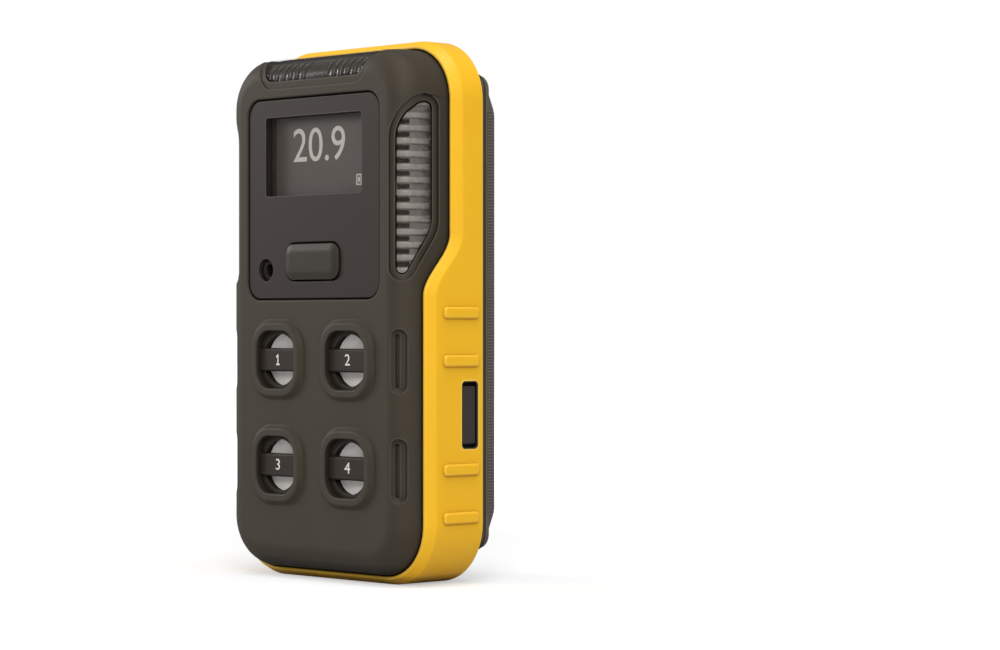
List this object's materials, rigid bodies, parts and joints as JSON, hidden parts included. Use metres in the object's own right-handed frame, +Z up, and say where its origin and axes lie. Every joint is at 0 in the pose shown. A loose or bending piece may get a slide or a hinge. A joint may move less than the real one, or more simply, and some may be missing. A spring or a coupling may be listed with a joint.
{
  "type": "portable gas detector",
  "caption": "Pocket gas detector: rounded housing with a display, a push button, barred sensor ports, alarm light windows, a wrap-round bumper and a sprung belt clip.",
  "frame": {"origin": "on the ground under the middle of the bounding box, with the detector standing upright", "axes": "+Z up along the longest side, -Y out of the face with the display, +X to the right of a viewer of that face"},
  "size_m": [0.0698, 0.0386, 0.1257],
  "materials": {
    "shell": "moulded satin plastic",
    "rear": "moulded plastic with a fine grid texture",
    "bumper": "moulded satin plastic",
    "panel": "fine satin plastic",
    "rubber": "matt moulded rubber",
    "clear": "clear polished plastic",
    "lens": "ribbed translucent plastic",
    "glass": "polished display glass",
    "white": "matt white",
    "board": "solder-masked laminate",
    "sensor": "moulded plastic",
    "steel": "pressed steel",
    "brass": "plated brass",
    "battery": "shrink wrap"
  },
  "bodies": {
    "housing": {"front_housing": "shell", "rear_housing": "rear", "bumper_frame": "bumper", "fascia_panel": "panel", "lcd_frame": "rubber", "sounder": "rubber", "sounder_tube": "rubber", "sensor_seal_1": "rubber", "sensor_seal_2": "rubber", "sensor_seal_3": "rubber", "sensor_seal_4": "rubber", "board_header": "rubber", "motor_cradle": "rubber", "housing_gasket": "rubber", "side_pad_left": "rubber", "side_pad_right": "rubber", "display_window": "clear", "side_light_left": "lens", "side_light_right": "lens", "top_light": "lens", "lcd_glass": "glass", "lcd_backlight": "white", "sensor_filter_1": "white", "sensor_filter_2": "white", "sensor_filter_3": "white", "sensor_filter_4": "white", "side_led_left": "white", "side_led_right": "white", "top_led_bar": "white", "main_board": "board", "sensor_board": "board", "gas_sensor_1": "sensor", "gas_sensor_2": "sensor", "gas_sensor_3": "sensor", "gas_sensor_4": "sensor", "tact_switch": "steel", "vibration_motor": "steel", "housing_screw_1": "steel", "housing_screw_2": "steel", "housing_screw_3": "steel", "housing_screw_4": "steel", "clip_screw_1": "steel", "clip_screw_2": "steel", "clip_base": "steel", "clip_pin": "steel", "clip_spring": "steel", "battery_contact": "brass", "charge_contact_1": "brass", "charge_contact_2": "brass", "charge_contact_3": "brass", "charge_contact_4": "brass", "battery_pack": "battery"},
    "button": {"power_button": "rubber"},
    "switch": {"switch_stem": "rubber"},
    "clip": {"clip_lever": "steel"},
    "rotor": {"motor_shaft": "steel", "motor_weight": "brass"}
  },
  "joints": [
    {"name": "button_press", "type": "slide", "parent": "housing", "child": "button", "axis": [0, 1, 0], "range_m": [0, 0.0006], "stiffness_N_per_m": 2000, "springref_m": -0.0003},
    {"name": "switch_press", "type": "slide", "parent": "housing", "child": "switch", "axis": [0, 1, 0], "range_m": [0, 0.0006]},
    {"name": "clip_hinge", "type": "hinge", "parent": "housing", "child": "clip", "pos_m": [0, 0.0141, 0.0928], "axis": [1, 0, 0], "range_deg": [0, 22], "stiffness_Nm_per_rad": 0.15, "springref_deg": -34.38, "deforming": ["clip_spring"]},
    {"name": "motor_spin", "type": "hinge", "parent": "housing", "child": "rotor", "pos_m": [0, -0.0039, 0.0667], "axis": [1, 0, 0], "continuous": true}
  ],
  "couplings": [
    {"joint": "switch_press", "follows": "button_press", "ratio": 1}
  ]
}
